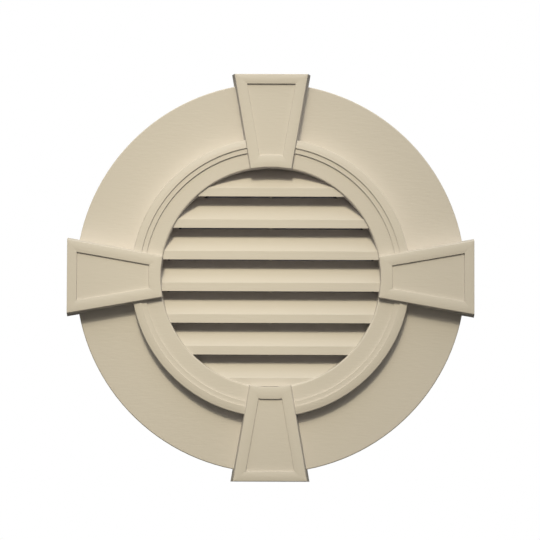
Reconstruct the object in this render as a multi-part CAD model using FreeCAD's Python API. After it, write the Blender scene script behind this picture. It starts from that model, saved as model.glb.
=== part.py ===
import FreeCAD, Part
import math
import os

from FreeCAD import Placement, Rotation, Vector

# Round gable vent with four keystones: a plastic moulding with an insect screen welded in at its back.
# Millimetres. X runs to the right, Z up and Y into the wall, so the face looks along -Y.
# The origin is the centre of the opening, on the wall plane. A height is measured from the wall
# towards the viewer, so a point at height h has Y = -h.

# Face, seen from the front
opening_radius = 206.3
band_width = 30.7  # inner band of the raised ring
tread_width = 9.5  # tread between the ring's two steps
bead_width = 15.5  # outer bead of the ring
flange_width = 106.0
keystone_overhang = 13.0  # keystones beyond the rim of the flange

# Heights and wall
wall = 2.8
flange_height = 22.0  # front of the flange in front of the wall
band_rise = 24.0  # inner band of the ring above the flange
inner_step = 3.3
outer_step = 2.8
crown_share = 0.7  # outer part of the bead that falls away
crown_drop = 2.0
ring_draft = 0.7  # the foot of the ring is this much wider than its top
rim_chamfer = 1.6
bead_round = 2.5
lip_round = 3.0
collar_depth = 14.0  # the collar reaches this far into the wall
spigot_relief = 0.8  # the part inside the wall is thinner by this much

# Keystones
keystone_count = 4
keystone_rise = 38.0  # crest of the border above the flange
keystone_tip_width = 138.0
keystone_neck_width = 76.0
keystone_neck_lead = 0.5  # inner end in front of the edge of the opening
neck_facets = 3  # flats that follow the round of the opening
keystone_draft = 4.6  # degrees
end_border = 18.0
side_border = 20.0
neck_border = 22.0
border_edge_share = 0.04  # part of the border's width that is taken off its outer edge
border_edge_drop = 0.8
border_crown = 0.7  # the border's middle stands this much above its edges
border_facets = 8  # flats across the bent border
recess_depth = 4.7  # below the crest of the border
recess_draft_share = 0.04
core_clearance = 0.3  # between the keystone's hollow and the line of the spigot

# Louvres
slat_count = 7
slat_setback = 5.0  # nose of a slat behind the inner band
slat_margin = 1.2  # lowest nose above the bottom of the opening
slat_lap = 4.5  # the top slat would reach this far past the top of the opening
slat_thickness = 2.4
nose_height = 16.2
slat_depth = 42.8  # from the nose to the back edge
slat_angle = 45.0  # degrees from level
crease_round = 1.2
mullion_width = 5.0
mullion_lead = 3.0  # the mullion starts this far in front of the back edges of the slats

# Stiffening ribs behind the flange
rib_angles = (30.0, 60.0)  # from the middle of each keystone, degrees
rib_thickness = 2.2
rib_clearance = 3.0  # from the wall

# Insect screen and its seat
seat_depth = 8.0  # back face of the seat behind the wall plane
seat_width = 8.0
seat_thickness = 2.5
screen_clearance = 0.6
hem_width = 11.0
mesh_pitch = 48.0
wire_width = 1.8
wire_thickness = 0.6
wire_overlap = 0.2  # the two layers of wire are pressed into each other by this much

inner_step_radius = opening_radius + band_width
outer_step_radius = inner_step_radius + tread_width
ring_radius = outer_step_radius + bead_width
flange_radius = ring_radius + flange_width
tip_reach = flange_radius + keystone_overhang
band_height = flange_height + band_rise
tread_height = band_height + inner_step
bead_height = tread_height + outer_step
bead_edge_height = bead_height - crown_drop
keystone_height = flange_height + keystone_rise
neck_radius = opening_radius - keystone_neck_lead
collar_radius = opening_radius + wall
nose_front = band_height - slat_setback
slat_rise = nose_height + slat_depth * math.tan(math.radians(slat_angle))
slat_pitch = (2 * opening_radius - slat_margin - slat_rise + slat_lap) / (slat_count - 1)
screen_radius = opening_radius - screen_clearance
screen_thickness = 2 * wire_thickness - wire_overlap
wall_normal = Vector(0, 1, 0)


def rounded_wire(corners):
    """Closed wire through corners given as (point, radius of the rounding there)."""
    tangents = []
    for index, (point, radius) in enumerate(corners):
        back = (corners[index - 1][0] - point).normalize()
        ahead = (corners[(index + 1) % len(corners)][0] - point).normalize()
        half = back.getAngle(ahead) / 2
        reach = radius / math.tan(half)
        middle = point + (back + ahead).normalize() * (radius / math.sin(half) - radius)
        tangents.append((point + back * reach, middle, point + ahead * reach))
    edges = []
    for index, (start, middle, end) in enumerate(tangents):
        if corners[index][1] > 0:
            edges.append(Part.Arc(start, middle, end).toShape())
        following = tangents[(index + 1) % len(tangents)][0]
        edges.append(Part.LineSegment(end, following).toShape())
    return Part.Wire(edges)


def section_wire(corners):
    """Wire in the radial plane from (radius, height, rounding) corners."""
    return rounded_wire([(Vector(radius, -height, 0), rounding) for radius, height, rounding in corners])


def round_plug(radius, back, front):
    """Cylinder on the vent's axis between two heights."""
    return Part.makeCylinder(radius, front - back, Vector(0, -front, 0), wall_normal)


def turned(shape, degrees):
    """Copy of a shape turned about the vent's axis."""
    copy = shape.copy()
    copy.Placement = Placement(Vector(), Rotation(wall_normal, degrees)).multiply(copy.Placement)
    return copy


def make_surround():
    """Flange, raised ring and collar as one turned shell of even wall."""
    crown_width = bead_width * crown_share
    crown_start = ring_radius - crown_width
    crown_turn = math.atan(crown_drop / crown_width)
    crown_round = 0.8 * (bead_width - crown_width) / math.tan(crown_turn / 2)
    front = [
        (flange_radius, 0, 0),
        (flange_radius, flange_height - rim_chamfer, 0),
        (flange_radius - rim_chamfer, flange_height, 0),
        (ring_radius + ring_draft, flange_height, 0),
        (ring_radius, bead_edge_height, bead_round),
        (crown_start, bead_height, crown_round),
        (outer_step_radius, bead_height, 0),
        (outer_step_radius, tread_height, 0),
        (inner_step_radius, tread_height, 0),
        (inner_step_radius, band_height, 0),
        (opening_radius, band_height, lip_round),
        (opening_radius, -collar_depth, 0),
    ]
    back = [
        (collar_radius - spigot_relief, -collar_depth, 0),
        (collar_radius - spigot_relief, 0, 0),
        (collar_radius, 0, 0),
        (collar_radius, band_height - wall, 0),
        (inner_step_radius + wall, band_height - wall, 0),
        (inner_step_radius + wall, tread_height - wall, 0),
        (outer_step_radius + wall, tread_height - wall, 0),
        (outer_step_radius + wall, bead_edge_height - wall, 0),
        (ring_radius - wall, bead_edge_height - wall, 0),
        (ring_radius + ring_draft - wall, flange_height - wall, 0),
        (flange_radius - wall, flange_height - wall, 0),
        (flange_radius - wall, 0, 0),
    ]
    return Part.Face(section_wire(front + back)).revolve(Vector(), wall_normal, 360)


def crossing(first, second):
    """Point where two lines meet, each given as a point and a direction in the XZ plane."""
    start, along = first
    other, course = second
    gap = other - start
    share = (gap.x * course.z - gap.z * course.x) / (along.x * course.z - along.z * course.x)
    return start + along * share


def keystone_outline(insets, height):
    """Corners of the upper keystone at a height, moved in by insets at its end, sides and neck."""
    end_inset, side_inset, neck_inset = insets
    spread = (keystone_height - height) * math.tan(math.radians(keystone_draft))
    neck_half = keystone_neck_width / 2
    neck_z = math.sqrt(neck_radius**2 - neck_half**2)
    tip = Vector(keystone_tip_width / 2, 0, tip_reach)
    along = (tip - Vector(neck_half, 0, neck_z)).normalize()
    right_start = tip + Vector(along.z, 0, -along.x) * (spread - side_inset)
    right = (right_start, along)
    left = (Vector(-right_start.x, 0, right_start.z), Vector(-along.x, 0, along.z))
    end = (Vector(0, 0, tip_reach + spread - end_inset), Vector(1, 0, 0))
    half_turn = math.asin(neck_half / neck_radius)
    facet_turn = 2 * half_turn / neck_facets
    facets = []
    for index in range(neck_facets):
        turn = (index + 0.5) * facet_turn - half_turn
        outward = Vector(math.sin(turn), 0, math.cos(turn))
        facets.append((outward * (neck_radius + neck_inset), Vector(outward.z, 0, -outward.x)))
    lines = [right, end, left] + facets
    corners = [crossing(line, lines[(index + 1) % len(lines)]) for index, line in enumerate(lines)]
    return [corner + Vector(0, -height, 0) for corner in corners]


def stacked_block(levels):
    """Solid through keystone outlines at (insets, height) levels, flat faced between them."""
    outlines = [keystone_outline(insets, height) for insets, height in levels]
    faces = [Part.Face(Part.makePolygon(ends + ends[:1])) for ends in (outlines[0], outlines[-1])]
    for lower, upper in zip(outlines, outlines[1:]):
        for index in range(len(lower)):
            following = (index + 1) % len(lower)
            corners = [lower[index], lower[following], upper[following], upper[index], lower[index]]
            faces.append(Part.Face(Part.makePolygon(corners)))
    return Part.Solid(Part.Shell(faces))


def border_insets(share, margin=0.0):
    """Insets at a share of the border's width, less a margin in millimetres."""
    return [width * share - margin for width in (end_border, side_border, neck_border)]


def border_height(share):
    """Height of the bent border at a share of its width."""
    return keystone_height - border_crown * (2 * share - 1) ** 2


def make_keystone():
    """Upper keystone as a filled block: drafted sides, bent border and recessed panel."""
    levels = [(border_insets(0), 0), (border_insets(0), border_height(0) - border_edge_drop)]
    for index in range(border_facets + 1):
        share = border_edge_share + (1 - border_edge_share) * index / border_facets
        levels.append((border_insets(share), border_height(share)))
    levels.append((border_insets(1 + recess_draft_share), keystone_height - recess_depth))
    return stacked_block(levels)


def make_keystone_core():
    """Hollow of the upper keystone, open at the back and one wall inside its faces."""
    channel_height = border_height(0) - wall
    panel_height = keystone_height - recess_depth - wall
    inside = [wall, wall, wall - spigot_relief + core_clearance + keystone_neck_lead]
    return stacked_block([
        (inside, -wall),
        (inside, channel_height),
        (border_insets(1, wall), channel_height),
        (border_insets(1, wall), panel_height),
    ])


def make_slat(nose_z):
    """Slat with an upright nose and a face that slopes up and back, cut off by the collar."""
    slope = math.radians(slat_angle)
    crease = Vector(0, -nose_front, nose_z + nose_height)
    back_edge = crease + Vector(0, slat_depth, slat_depth * math.tan(slope))
    under = Vector(0, math.sin(slope), -math.cos(slope)) * slat_thickness
    inner_drop = slat_thickness * (1 - math.sin(slope)) / math.cos(slope)
    inner_crease = crease + Vector(0, slat_thickness, -inner_drop)
    nose_foot = Vector(0, -nose_front, nose_z)
    outline = rounded_wire([
        (nose_foot, 0),
        (crease, crease_round),
        (back_edge, 0),
        (back_edge + under, 0),
        (inner_crease, 0),
        (nose_foot + Vector(0, slat_thickness, 0), 0),
    ])
    outline.translate(Vector(-collar_radius, 0, 0))
    return Part.Face(outline).extrude(Vector(2 * collar_radius, 0, 0))


def make_louvres():
    """Slats and the mullion behind them, reaching half way into the collar's wall."""
    lowest = slat_margin - opening_radius
    slats = [make_slat(lowest + index * slat_pitch) for index in range(slat_count)]
    mullion_front = nose_front - slat_depth + mullion_lead
    mullion = Part.makeBox(
        mullion_width,
        mullion_front + seat_depth,
        2 * collar_radius,
        Vector(-mullion_width / 2, -mullion_front, -collar_radius),
    )
    trim = round_plug(opening_radius + wall / 2, -collar_depth, keystone_height)
    return [piece.common(trim) for piece in slats + [mullion]]


def make_ribs():
    """Radial ribs that tie the collar, the ring and the rim together behind the flange."""
    inner = opening_radius + wall / 2
    outer = flange_radius - wall / 2
    foot = rib_clearance
    rib = Part.Face(section_wire([
        (inner, foot, 0),
        (inner, band_height - wall / 2, 0),
        (ring_radius - wall / 2, band_height - wall / 2, 0),
        (ring_radius + ring_draft - wall / 2, flange_height - wall / 2, 0),
        (outer, flange_height - wall / 2, 0),
        (outer, foot, 0),
    ]))
    rib.translate(Vector(0, 0, -rib_thickness / 2))
    plate = rib.extrude(Vector(0, 0, rib_thickness))
    step = 360.0 / keystone_count
    return [turned(plate, index * step + angle) for index in range(keystone_count) for angle in rib_angles]


def make_seat():
    """Ledge inside the collar that the hem of the screen is welded to."""
    ledge = round_plug(opening_radius + wall / 2, -seat_depth, seat_thickness - seat_depth)
    return ledge.cut(round_plug(opening_radius - seat_width, -collar_depth, wall))


def make_body():
    """The whole moulding as one solid."""
    step = 360.0 / keystone_count
    turns = [index * step for index in range(keystone_count)]
    keystone = make_keystone()
    core = make_keystone_core()
    body = make_surround().fuse([turned(keystone, angle) for angle in turns])
    body = body.fuse(make_ribs())
    body = body.cut([turned(core, angle) for angle in turns])
    body = body.fuse(make_louvres() + [make_seat()])
    return body.removeSplitter()


def make_screen():
    """Screen disc: a hem, and two crossing layers of wire drawn at a coarse pitch."""
    front = Vector(0, seat_depth, 0)
    hem_inner = screen_radius - hem_width
    disc = Part.makeCylinder(screen_radius, screen_thickness, front, wall_normal)
    hem = disc.cut(Part.makeCylinder(hem_inner, screen_thickness, front, wall_normal))
    inside = Part.makeCylinder(screen_radius - hem_width / 2, screen_thickness, front, wall_normal)
    reach = int(hem_inner / mesh_pitch)
    wires = []
    for index in range(-reach, reach + 1):
        offset = index * mesh_pitch - wire_width / 2
        level = Part.makeBox(
            2 * screen_radius, wire_thickness, wire_width, Vector(-screen_radius, seat_depth, offset)
        )
        upright_front = seat_depth + wire_thickness - wire_overlap
        upright = Part.makeBox(
            wire_width, wire_thickness, 2 * screen_radius, Vector(offset, upright_front, -screen_radius)
        )
        wires += [level.common(inside), upright.common(inside)]
    return hem.fuse(wires).removeSplitter()


def main():
    os.makedirs("parts", exist_ok=True)
    for name, shape in (("vent_body", make_body()), ("insect_screen", make_screen())):
        print(name, "solids", len(shape.Solids), "valid", shape.isValid(), "volume cm3", shape.Volume / 1000)
        shape.Solids[0].exportStep("parts/" + name + ".step")


main()
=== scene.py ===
import bpy
import math
import numpy as np
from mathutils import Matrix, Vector


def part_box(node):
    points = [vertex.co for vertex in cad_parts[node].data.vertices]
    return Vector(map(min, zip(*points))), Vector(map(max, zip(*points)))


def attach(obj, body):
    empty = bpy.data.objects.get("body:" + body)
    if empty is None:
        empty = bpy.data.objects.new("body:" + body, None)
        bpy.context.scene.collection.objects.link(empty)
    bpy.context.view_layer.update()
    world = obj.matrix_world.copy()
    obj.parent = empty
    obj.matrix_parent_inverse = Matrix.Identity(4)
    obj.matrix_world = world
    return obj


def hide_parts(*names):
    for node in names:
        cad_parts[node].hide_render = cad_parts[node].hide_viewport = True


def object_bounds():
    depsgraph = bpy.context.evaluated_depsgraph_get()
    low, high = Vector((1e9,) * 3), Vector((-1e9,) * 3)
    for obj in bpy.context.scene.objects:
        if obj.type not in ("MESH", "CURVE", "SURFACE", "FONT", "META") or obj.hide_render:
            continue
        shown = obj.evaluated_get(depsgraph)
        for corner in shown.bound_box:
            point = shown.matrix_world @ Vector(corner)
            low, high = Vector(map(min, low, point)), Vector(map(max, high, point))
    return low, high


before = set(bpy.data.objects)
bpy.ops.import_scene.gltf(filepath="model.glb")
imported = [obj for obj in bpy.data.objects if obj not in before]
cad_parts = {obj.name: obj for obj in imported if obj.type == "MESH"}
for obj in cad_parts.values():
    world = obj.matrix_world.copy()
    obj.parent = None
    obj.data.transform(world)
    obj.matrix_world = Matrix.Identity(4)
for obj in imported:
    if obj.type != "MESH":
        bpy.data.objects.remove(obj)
cadLow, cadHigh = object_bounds()
print("frame loaded")


def meshFromArrays(name, points, faceGroups, material, smooth=True):
    # points is n x 3 in metres, and each group of faces is an array of one number of corners
    mesh = bpy.data.meshes.new(name)
    faces = [face for group in faceGroups for face in group.tolist()]
    mesh.from_pydata(points.tolist(), [], faces)
    mesh.materials.append(material)
    mesh.polygons.foreach_set("use_smooth", [smooth] * len(mesh.polygons))
    mesh.update()
    piece = bpy.data.objects.new(name, mesh)
    bpy.context.scene.collection.objects.link(piece)
    return piece


def turnedBand(profile, turns):
    # closed profile of (radius, y) rows carried round the Y axis: x = r sin a, z = r cos a
    angle = np.arange(turns) * 2 * np.pi / turns
    radius, depth = profile[:, 0], profile[:, 1]
    x = np.sin(angle)[:, None] * radius
    z = np.cos(angle)[:, None] * radius
    y = np.broadcast_to(depth, x.shape)
    points = np.stack([x, y, z], axis=-1).reshape(-1, 3)
    count = len(profile)
    turn, place = np.meshgrid(np.arange(turns), np.arange(count), indexing="ij")
    nextTurn, nextPlace = (turn + 1) % turns, (place + 1) % count
    faces = np.stack([turn * count + place, nextTurn * count + place,
                      nextTurn * count + nextPlace, turn * count + nextPlace], axis=-1)
    return points, faces.reshape(-1, 4)


def nodeMaterial(name):
    material = bpy.data.materials.new(name)
    material.use_nodes = True
    nodes, links = material.node_tree.nodes, material.node_tree.links
    return material, nodes, links, nodes["Principled BSDF"]


toneDetail = {
    "cloud": 3.0,
    "grain": 2.0,
}


def mouldedToneGroup():
    # two shades mixed by a slow cloud, and a fine grain drawn out along X for the bump
    group = bpy.data.node_groups.new("mouldedTone", "ShaderNodeTree")
    for socketName, kind, preset in (("Tone", "NodeSocketColor", (0.5, 0.5, 0.5, 1)),
                                     ("Deep Tone", "NodeSocketColor", (0.4, 0.4, 0.4, 1)),
                                     ("Cloud Scale", "NodeSocketFloat", 6.0),
                                     ("Grain Scale", "NodeSocketFloat", 900.0),
                                     ("Grain Draw", "NodeSocketFloat", 1.0)):
        group.interface.new_socket(socketName, in_out="INPUT", socket_type=kind).default_value = preset
    for socketName, kind in (("Color", "NodeSocketColor"), ("Grain", "NodeSocketFloat")):
        group.interface.new_socket(socketName, in_out="OUTPUT", socket_type=kind)
    nodes, links = group.nodes, group.links
    given = nodes.new("NodeGroupInput")
    out = nodes.new("NodeGroupOutput")
    place = nodes.new("ShaderNodeTexCoord")
    cloud = nodes.new("ShaderNodeTexNoise")
    cloud.inputs["Detail"].default_value = toneDetail["cloud"]
    grain = nodes.new("ShaderNodeTexNoise")
    grain.inputs["Detail"].default_value = toneDetail["grain"]
    squeeze = nodes.new("ShaderNodeCombineXYZ")
    squeeze.inputs["Y"].default_value = 1.0
    squeeze.inputs["Z"].default_value = 1.0
    drawn = nodes.new("ShaderNodeVectorMath")
    drawn.operation = "DIVIDE"
    blend = nodes.new("ShaderNodeMix")
    blend.data_type = "RGBA"
    links.new(place.outputs["Object"], cloud.inputs["Vector"])
    links.new(given.outputs["Grain Draw"], squeeze.inputs["X"])
    links.new(place.outputs["Object"], drawn.inputs[0])
    links.new(squeeze.outputs["Vector"], drawn.inputs[1])
    links.new(drawn.outputs["Vector"], grain.inputs["Vector"])
    links.new(given.outputs["Cloud Scale"], cloud.inputs["Scale"])
    links.new(given.outputs["Grain Scale"], grain.inputs["Scale"])
    links.new(cloud.outputs["Fac"], blend.inputs["Factor"])
    links.new(given.outputs["Tone"], blend.inputs["A"])
    links.new(given.outputs["Deep Tone"], blend.inputs["B"])
    links.new(blend.outputs["Result"], out.inputs["Color"])
    links.new(grain.outputs["Fac"], out.inputs["Grain"])
    return group


moulding = {
    "tone": (0.630, 0.533, 0.354, 1),
    "deepTone": (0.610, 0.515, 0.340, 1),
    "cloudScale": 5.0,
    "grainScale": 260.0,
    "grainDraw": 4.5,  # the grain's length over its width
    "grainHeight": 0.00023,
    "roughness": 0.48,
    "gloss": 0.3,
    "facingBlend": 0.5,
    "fadeStart": 0.55,  # the gloss fades between these two, as a face turns away from the eye
    "fadeEnd": 0.9,
    "bounce": (0.66, 0.645, 0.69, 1),  # colour that it passes on to the faces around it
}


def satinMoulding(tones):
    material, nodes, links, shader = nodeMaterial("satin_moulding")
    tone = nodes.new("ShaderNodeGroup")
    tone.node_tree = tones
    tone.inputs["Tone"].default_value = moulding["tone"]
    tone.inputs["Deep Tone"].default_value = moulding["deepTone"]
    tone.inputs["Cloud Scale"].default_value = moulding["cloudScale"]
    tone.inputs["Grain Scale"].default_value = moulding["grainScale"]
    tone.inputs["Grain Draw"].default_value = moulding["grainDraw"]
    bump = nodes.new("ShaderNodeBump")
    bump.inputs["Distance"].default_value = moulding["grainHeight"]
    links.new(tone.outputs["Grain"], bump.inputs["Height"])
    path = nodes.new("ShaderNodeLightPath")
    passed = nodes.new("ShaderNodeMix")
    passed.data_type = "RGBA"
    passed.inputs["B"].default_value = moulding["bounce"]
    links.new(path.outputs["Is Diffuse Ray"], passed.inputs["Factor"])
    links.new(tone.outputs["Color"], passed.inputs["A"])
    links.new(passed.outputs["Result"], shader.inputs["Base Color"])
    links.new(bump.outputs["Normal"], shader.inputs["Normal"])
    shader.inputs["Roughness"].default_value = moulding["roughness"]
    edge = nodes.new("ShaderNodeLayerWeight")
    edge.inputs["Blend"].default_value = moulding["facingBlend"]
    fade = nodes.new("ShaderNodeMapRange")
    fade.inputs["From Min"].default_value = moulding["fadeStart"]
    fade.inputs["From Max"].default_value = moulding["fadeEnd"]
    fade.inputs["To Min"].default_value = moulding["gloss"]
    fade.inputs["To Max"].default_value = 0.0
    links.new(edge.outputs["Facing"], fade.inputs["Value"])
    links.new(fade.outputs["Result"], shader.inputs["Specular IOR Level"])
    return material


screenMesh = {
    "tone": (0.020, 0.019, 0.018, 1),
    "deepTone": (0.012, 0.012, 0.012, 1),
    "cloudScale": 40.0,
    "roughness": 0.6,
    "pitch": 0.0032,
    "wireRadius": 0.00032,
    "wireFlats": 3,
    "wireEnd": 0.4,  # how far the wires run into the hem, over its width
    "sag": 0.00030,  # half the over and under of the weave
    "hemWidth": 0.011,
    "hemEase": 0.3,  # the bevel of the hem's edges, over its thickness
    "hemTurns": 180,
}


def screenCoating(tones):
    material, nodes, links, shader = nodeMaterial("screen_coating")
    tone = nodes.new("ShaderNodeGroup")
    tone.node_tree = tones
    tone.inputs["Tone"].default_value = screenMesh["tone"]
    tone.inputs["Deep Tone"].default_value = screenMesh["deepTone"]
    tone.inputs["Cloud Scale"].default_value = screenMesh["cloudScale"]
    links.new(tone.outputs["Color"], shader.inputs["Base Color"])
    shader.inputs["Roughness"].default_value = screenMesh["roughness"]
    return material


tones = mouldedToneGroup()
beige = satinMoulding(tones)
darkCoat = screenCoating(tones)
print("finishes made")


# the moulding keeps the solid's own surface
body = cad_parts["vent_body"]
body.data.materials.clear()
body.data.materials.append(beige)


def wovenWires(reach, middleDepth):
    # each wire runs straight in the disc and goes over and under by sag at every crossing:
    # offset = sag * (-1)^(wire + crossing); a few flats round each wire and a flat at each end
    pitch, radius, flats = screenMesh["pitch"], screenMesh["wireRadius"], screenMesh["wireFlats"]
    half = int(reach / pitch) + 1
    steps = np.arange(-half, half + 1)
    count = len(steps)
    wire, crossing = np.meshgrid(steps, steps, indexing="ij")
    swing = screenMesh["sag"] * np.where((wire + crossing) % 2 == 0, 1.0, -1.0)
    inside = np.hypot(wire, crossing) * pitch <= reach
    around = np.pi / 2 + np.arange(flats) * 2 * np.pi / flats
    side = (wire * pitch)[..., None] + radius * np.cos(around)
    along = np.broadcast_to((crossing * pitch)[..., None], side.shape)
    levelDepth = middleDepth + swing[..., None] + radius * np.sin(around)
    uprightDepth = middleDepth - swing[..., None] + radius * np.sin(around)
    level = np.stack([along, levelDepth, side], axis=-1).reshape(-1, 3)
    upright = np.stack([side, uprightDepth, along], axis=-1).reshape(-1, 3)
    points = np.concatenate([level, upright])
    row, column, corner = np.meshgrid(np.arange(count), np.arange(count - 1), np.arange(flats), indexing="ij")
    following = (corner + 1) % flats
    here = (row * count + column) * flats
    there = here + flats
    faces = np.stack([here + corner, there + corner, there + following, here + following], axis=-1)
    faces = faces[inside[:, :-1] & inside[:, 1:]].reshape(-1, 4)
    long = inside.sum(axis=1) > 1
    start = (steps + half) * count + inside.argmax(axis=1)
    end = (steps + half) * count + count - 1 - inside[:, ::-1].argmax(axis=1)
    corners = np.arange(flats)
    ends = np.concatenate([start[long, None] * flats + corners, end[long, None] * flats + corners[::-1]])
    # the upright wires mirror the level ones, so their faces are turned over
    faces = np.concatenate([faces, faces[:, ::-1] + len(level)])
    ends = np.concatenate([ends, ends[:, ::-1] + len(level)])
    used, packed = np.unique(np.concatenate([faces.ravel(), ends.ravel()]), return_inverse=True)
    packed = packed.ravel()
    return points[used], packed[:faces.size].reshape(-1, 4), packed[faces.size:].reshape(-1, flats)


def makeScreen():
    low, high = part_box("insect_screen")
    hemWidth = screenMesh["hemWidth"]
    outer = high.x
    inner = outer - hemWidth
    front, back = low.y, high.y
    ease = (back - front) * screenMesh["hemEase"]
    hemProfile = np.array([(outer, front + ease), (outer, back - ease), (outer - ease, back),
                           (inner + ease, back), (inner, back - ease), (inner, front + ease),
                           (inner + ease, front), (outer - ease, front)])
    hemPoints, hemFaces = turnedBand(hemProfile, screenMesh["hemTurns"])
    reach = inner + hemWidth * screenMesh["wireEnd"]
    wirePoints, wireFaces, wireEnds = wovenWires(reach, (front + back) / 2)
    points = np.concatenate([hemPoints, wirePoints])
    faces = np.concatenate([hemFaces, wireFaces + len(hemPoints)])
    ends = wireEnds + len(hemPoints)
    screen = meshFromArrays("fine_screen", points, [faces, ends], darkCoat)
    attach(screen, "root")
    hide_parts("insect_screen")
    print("screen triangles", 2 * len(faces) + len(ends))


makeScreen()


stageSet = {
    "floorHeight": -0.75,
    "floorReach": 4.0,
    "floorNear": -3.5,
    "floorFar": 2.0,
    "floorTone": (0.80, 0.73, 0.58, 1),
    "floorBounce": (0.06, 0.06, 0.06, 1),
    "cardDepth": 6.0,
    "cardReach": 3.0,
    "cardBounce": (0.05, 0.05, 0.05, 1),
    # the painted-shade sheet behind the screen: its depth, roundness and tone, chosen so the gaps between the
    # slats read as shade
    "gapShadeDepth": 0.0125,
    "gapShadeTurns": 64,
    "gapShadeTone": (0.65, 0.58, 0.52, 1),
}


def flatSheet(name, corners, material):
    sheet = meshFromArrays(name, np.array(corners), [np.array([[0, 1, 2, 3]])], material, smooth=False)


def bareMaterial(name):
    material = bpy.data.materials.new(name)
    material.use_nodes = True
    nodes, links = material.node_tree.nodes, material.node_tree.links
    nodes.clear()
    return material, nodes, links, nodes.new("ShaderNodeOutputMaterial")


def largestOf(nodes, links, sockets):
    total = sockets[0]
    for socket in sockets[1:]:
        larger = nodes.new("ShaderNodeMath")
        larger.operation = "MAXIMUM"
        links.new(total, larger.inputs[0])
        links.new(socket, larger.inputs[1])
        total = larger.outputs[0]
    return total


def seenDirectly(nodes, links):
    # 1 where the camera looks, straight, by way of a reflection or through glass
    path = nodes.new("ShaderNodeLightPath")
    kinds = ("Is Camera Ray", "Is Glossy Ray", "Is Transmission Ray")
    return largestOf(nodes, links, [path.outputs[kind] for kind in kinds])


def pickShader(nodes, links, factor, usual, picked, out):
    # the picked shader shows where the factor is 1
    pick = nodes.new("ShaderNodeMixShader")
    links.new(factor, pick.inputs["Fac"])
    links.new(usual.outputs[0], pick.inputs[1])
    links.new(picked.outputs[0], pick.inputs[2])
    links.new(pick.outputs[0], out.inputs["Surface"])


def floorPaint():
    # pale where it is seen, dark for the light that would bounce up to the vent
    material, nodes, links, out = bareMaterial("floor_paint")
    pale = nodes.new("ShaderNodeBsdfDiffuse")
    pale.inputs["Color"].default_value = stageSet["floorTone"]
    dark = nodes.new("ShaderNodeBsdfDiffuse")
    dark.inputs["Color"].default_value = stageSet["floorBounce"]
    pickShader(nodes, links, seenDirectly(nodes, links), dark, pale, out)
    return material


def whiteCard():
    # plain white where it is seen, and no light for the vent
    material, nodes, links, out = bareMaterial("white_card")
    white = nodes.new("ShaderNodeEmission")
    dark = nodes.new("ShaderNodeBsdfDiffuse")
    dark.inputs["Color"].default_value = stageSet["cardBounce"]
    pickShader(nodes, links, seenDirectly(nodes, links), dark, white, out)
    return material


def gapShadeBoard():
    # painted shade: a sheet behind the screen stands in for the shade seen through the slats; clear from
    # behind and for shadows
    material, nodes, links, out = bareMaterial("painted_gap_shade")
    dull = nodes.new("ShaderNodeBsdfDiffuse")
    dull.inputs["Color"].default_value = stageSet["gapShadeTone"]
    clear = nodes.new("ShaderNodeBsdfTransparent")
    path = nodes.new("ShaderNodeLightPath")
    surface = nodes.new("ShaderNodeNewGeometry")
    unseen = largestOf(nodes, links, [path.outputs["Is Shadow Ray"], surface.outputs["Backfacing"]])
    pickShader(nodes, links, unseen, dull, clear, out)
    return material


def makeStage():
    level, side = stageSet["floorHeight"], stageSet["floorReach"]
    near, far = stageSet["floorNear"], stageSet["floorFar"]
    flatSheet("floor", [(-side, near, level), (side, near, level),
                        (side, far, level), (-side, far, level)], floorPaint())
    depth, edge = stageSet["cardDepth"], stageSet["cardReach"]
    flatSheet("card", [(-edge, depth, -edge), (edge, depth, -edge),
                       (edge, depth, edge), (-edge, depth, edge)], whiteCard())
    # painted shade: a flat disc just behind the screen, as wide as the screen, that closes the view through
    # the slats
    reach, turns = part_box("insect_screen")[1].x, stageSet["gapShadeTurns"]
    angle = np.arange(turns) * 2 * np.pi / turns
    behind = np.full(turns, stageSet["gapShadeDepth"])
    rim = np.stack([reach * np.sin(angle), behind, reach * np.cos(angle)], axis=-1)
    gapShadeSheet = meshFromArrays("gapShadeSheet", rim, [np.arange(turns)[None, ::-1]], gapShadeBoard(), smooth=False)


makeStage()


# cool light from the room: beside and behind the vent, in front of it and above it
roomSet = {
    "sideGlow": (0.020, 0.022, 0.028, 1),
    "frontGlow": (0.195, 0.198, 0.222, 1),
    "frontStart": 0.1,  # along Y of the direction
    "frontEnd": -0.9,
    "ceilingGlow": (0.95, 1.08, 1.50, 1),
    "ceilingStart": 0.2,  # along Z of the direction
    "ceilingEnd": 0.9,
}


def makeRoom():
    # white where it is seen
    world = bpy.data.worlds.new("studio")
    bpy.context.scene.world = world
    world.use_nodes = True
    nodes, links = world.node_tree.nodes, world.node_tree.links
    nodes.clear()
    out = nodes.new("ShaderNodeOutputWorld")
    white = nodes.new("ShaderNodeBackground")
    white.inputs["Color"].default_value = (1, 1, 1, 1)
    room = nodes.new("ShaderNodeBackground")
    place = nodes.new("ShaderNodeTexCoord")
    split = nodes.new("ShaderNodeSeparateXYZ")
    links.new(place.outputs["Generated"], split.inputs["Vector"])
    glow = room.inputs["Color"]
    for axis, part in (("Z", "ceiling"), ("Y", "front")):
        rise = nodes.new("ShaderNodeMapRange")
        rise.inputs["From Min"].default_value = roomSet[part + "Start"]
        rise.inputs["From Max"].default_value = roomSet[part + "End"]
        blend = nodes.new("ShaderNodeMix")
        blend.data_type = "RGBA"
        blend.inputs["A"].default_value = roomSet["sideGlow"]
        blend.inputs["B"].default_value = roomSet[part + "Glow"]
        links.new(split.outputs[axis], rise.inputs["Value"])
        links.new(rise.outputs["Result"], blend.inputs["Factor"])
        links.new(blend.outputs["Result"], glow)
        glow = blend.inputs["A"]
    pickShader(nodes, links, seenDirectly(nodes, links), room, white, out)


makeRoom()


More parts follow.
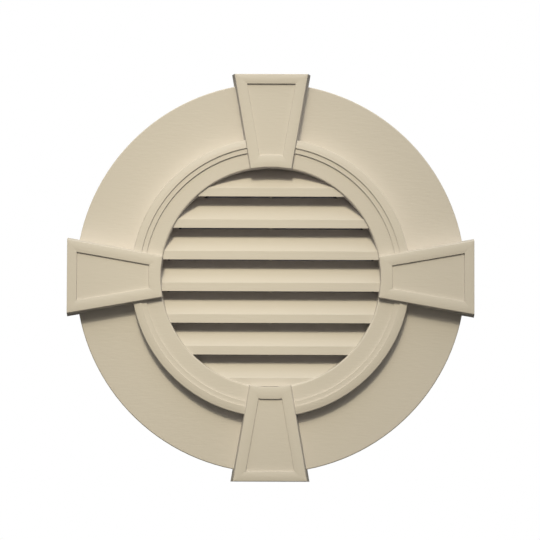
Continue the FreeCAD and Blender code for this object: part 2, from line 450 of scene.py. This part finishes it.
lampSet = {
    "turn": -4.0,  # degrees, minus is to the viewer's left
    "distance": 11.0,
    "keyHeight": 33.0,  # degrees above level
    "keyAim": (-0.09, 0, 0.02),
    "keyRadius": 0.5,
    "keyCone": 7.2,  # degrees, soft all the way to its edge
    "keyWatts": 2950.0,
    "windowHeight": 34.0,  # a wider light beside it, for the soft edges of the shadows
    "windowSize": 4.0,
    "windowTint": (0.97, 0.98, 1.03),
    "windowWatts": 490.0,
    "behindPlace": (0, 3.4, 0.15),
    "behindSize": 1.2,
    "behindTint": (1, 1, 1),
    "behindWatts": 14.0,
}


def squareLight(name, size, tint):
    light = bpy.data.lights.new(name, "AREA")
    light.color = tint
    light.shape = "SQUARE"
    light.size = size
    return light


def spotLight(name, radius, cone):
    light = bpy.data.lights.new(name, "SPOT")
    light.shadow_soft_size = radius
    light.spot_size = math.radians(cone)
    light.spot_blend = 1.0
    return light


def hangLamp(light, watts, place, target=(0, 0, 0)):
    light.energy = watts
    lamp = bpy.data.objects.new(light.name, light)
    lamp.location = place
    lamp.rotation_euler = (Vector(target) - Vector(place)).to_track_quat("-Z", "Y").to_euler()
    bpy.context.scene.collection.objects.link(lamp)


def frontPlace(height):
    # height in degrees above level, seen from the vent
    height, turn = math.radians(height), math.radians(lampSet["turn"])
    level = math.cos(height)
    direction = Vector((math.sin(turn) * level, -math.cos(turn) * level, math.sin(height)))
    return direction * lampSet["distance"]


def makeLamps():
    key = spotLight("key", lampSet["keyRadius"], lampSet["keyCone"])
    hangLamp(key, lampSet["keyWatts"], frontPlace(lampSet["keyHeight"]), lampSet["keyAim"])
    window = squareLight("window", lampSet["windowSize"], lampSet["windowTint"])
    hangLamp(window, lampSet["windowWatts"], frontPlace(lampSet["windowHeight"]))
    behind = squareLight("behind", lampSet["behindSize"], lampSet["behindTint"])
    hangLamp(behind, lampSet["behindWatts"], lampSet["behindPlace"])


makeLamps()


cameraSet = {
    "imagePixels": 540,
    "sensorWidth": 36.0,
    "distance": 3.8,  # from the keystones' fronts
    "metresPerPixel": 0.001869,  # at the keystones' fronts
    "centre": (270.45, 276.80),  # the vent's axis in the photograph
    "eyeLevel": 334.7,  # row that is level with the camera
    "tilt": 2.49,  # degrees upwards
    "roll": -0.20,
}


def makeCamera():
    size, scale = cameraSet["imagePixels"], cameraSet["metresPerPixel"]
    focus = cameraSet["distance"] / scale
    column, row = cameraSet["centre"]
    tilt = math.radians(cameraSet["tilt"])
    data = bpy.data.cameras.new("camera")
    data.sensor_width = cameraSet["sensorWidth"]
    data.lens = focus / size * data.sensor_width
    axisRow = cameraSet["eyeLevel"] - focus * math.tan(tilt)
    data.shift_y = (axisRow - size / 2) / size
    camera = bpy.data.objects.new("camera", data)
    camera.location = ((size / 2 - column) * scale, cadLow.y - cameraSet["distance"],
                       (row - cameraSet["eyeLevel"]) * scale)
    camera.rotation_euler = (math.pi / 2 + tilt, math.radians(cameraSet["roll"]), 0)
    bpy.context.scene.collection.objects.link(camera)
    bpy.context.scene.camera = camera


makeCamera()
bpy.context.scene.view_settings.view_transform = "Standard"
print("stage, lamps and camera set")
